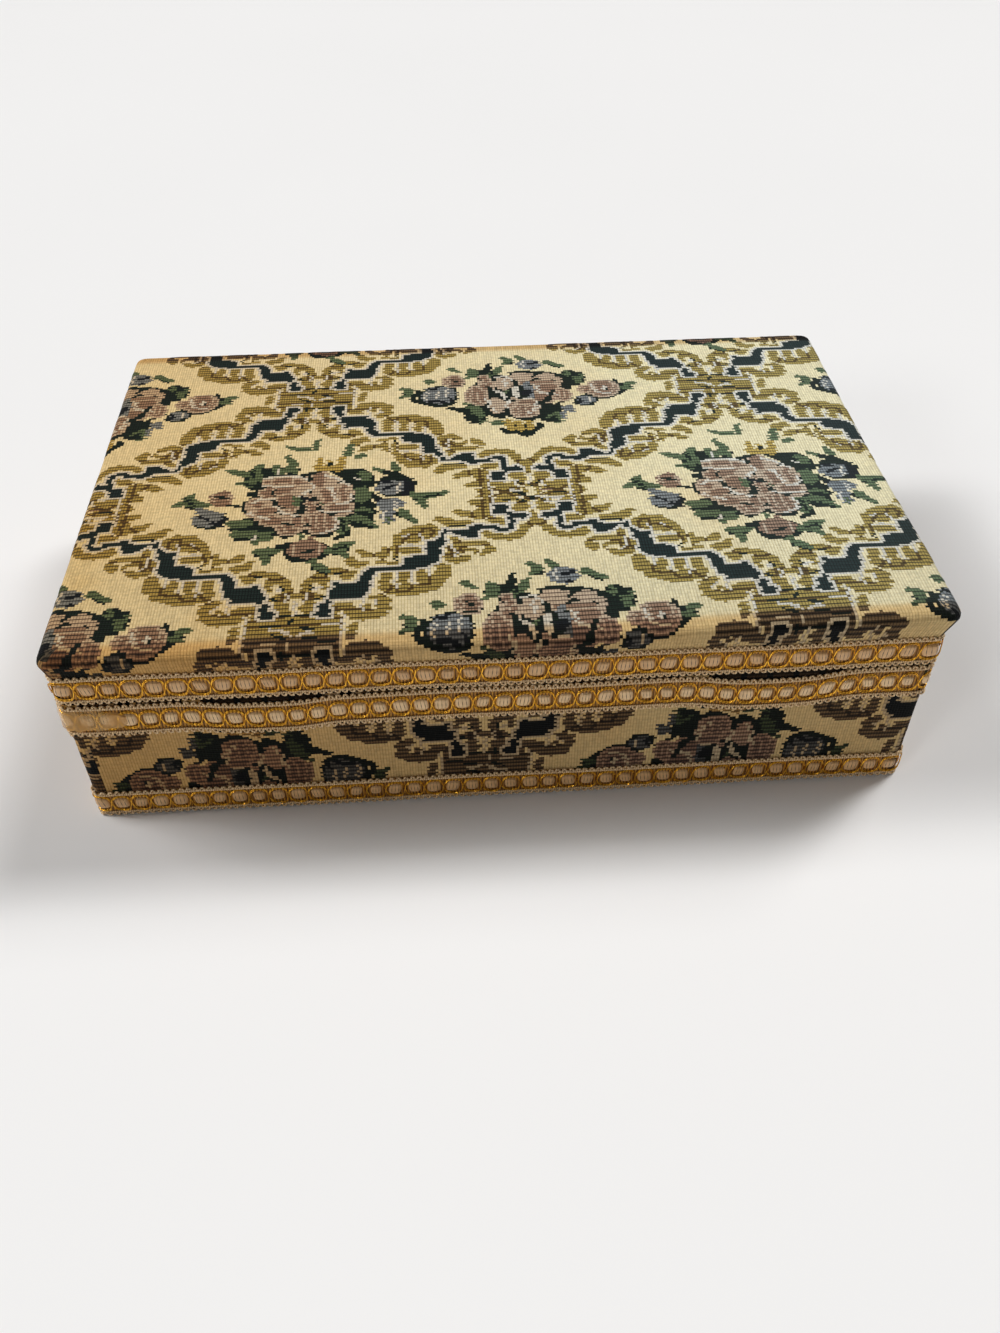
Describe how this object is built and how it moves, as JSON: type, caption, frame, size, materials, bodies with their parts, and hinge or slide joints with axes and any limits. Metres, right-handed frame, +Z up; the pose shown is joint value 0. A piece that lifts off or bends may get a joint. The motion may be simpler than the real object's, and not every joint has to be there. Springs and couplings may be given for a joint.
{
  "type": "fabric-covered keepsake box",
  "caption": "Shallow keepsake box covered in floral brocade, with a padded cloth-hinged lid, satin lining and looped metallic braid round the seam and foot.",
  "frame": {"origin": "centre of the footprint, on the surface the box stands on", "axes": "+X to the right along the long side, front facing -Y, +Z up"},
  "size_m": [0.232, 0.152, 0.062],
  "materials": {
    "boards": "matt grey board",
    "brocade": "coarse woven floral brocade with a soft sheen",
    "braid": "metallic gold loops over beige thread",
    "satin": "smooth satin",
    "wadding": "soft wadding",
    "base_sheet": "matt covering paper"
  },
  "bodies": {
    "base": {"base_floor_board": "boards", "base_front_wall": "boards", "base_back_wall": "boards", "base_left_wall": "boards", "base_right_wall": "boards", "base_cover": "brocade", "hinge_cloth_lower": "brocade", "base_rim_braid": "braid", "base_foot_braid": "braid", "base_front_lining": "satin", "base_back_lining": "satin", "base_left_lining": "satin", "base_right_lining": "satin", "base_floor_pad": "satin", "hinge_ribbon_lower": "satin", "base_underside_sheet": "base_sheet"},
    "lid": {"lid_top_board": "boards", "lid_front_wall": "boards", "lid_back_wall": "boards", "lid_left_wall": "boards", "lid_right_wall": "boards", "lid_padding": "wadding", "lid_cover": "brocade", "lid_braid": "braid", "lid_front_lining": "satin", "lid_back_lining": "satin", "lid_left_lining": "satin", "lid_right_lining": "satin", "lid_ceiling_pad": "satin", "hinge_cloth_upper": "brocade", "hinge_ribbon_upper": "satin"}
  },
  "joints": [
    {"name": "lid_hinge", "type": "hinge", "parent": "base", "child": "lid", "pos_m": [0, 0.0751, 0.0444], "axis": [-1, 0, 0], "range_deg": [0, 110]}
  ]
}
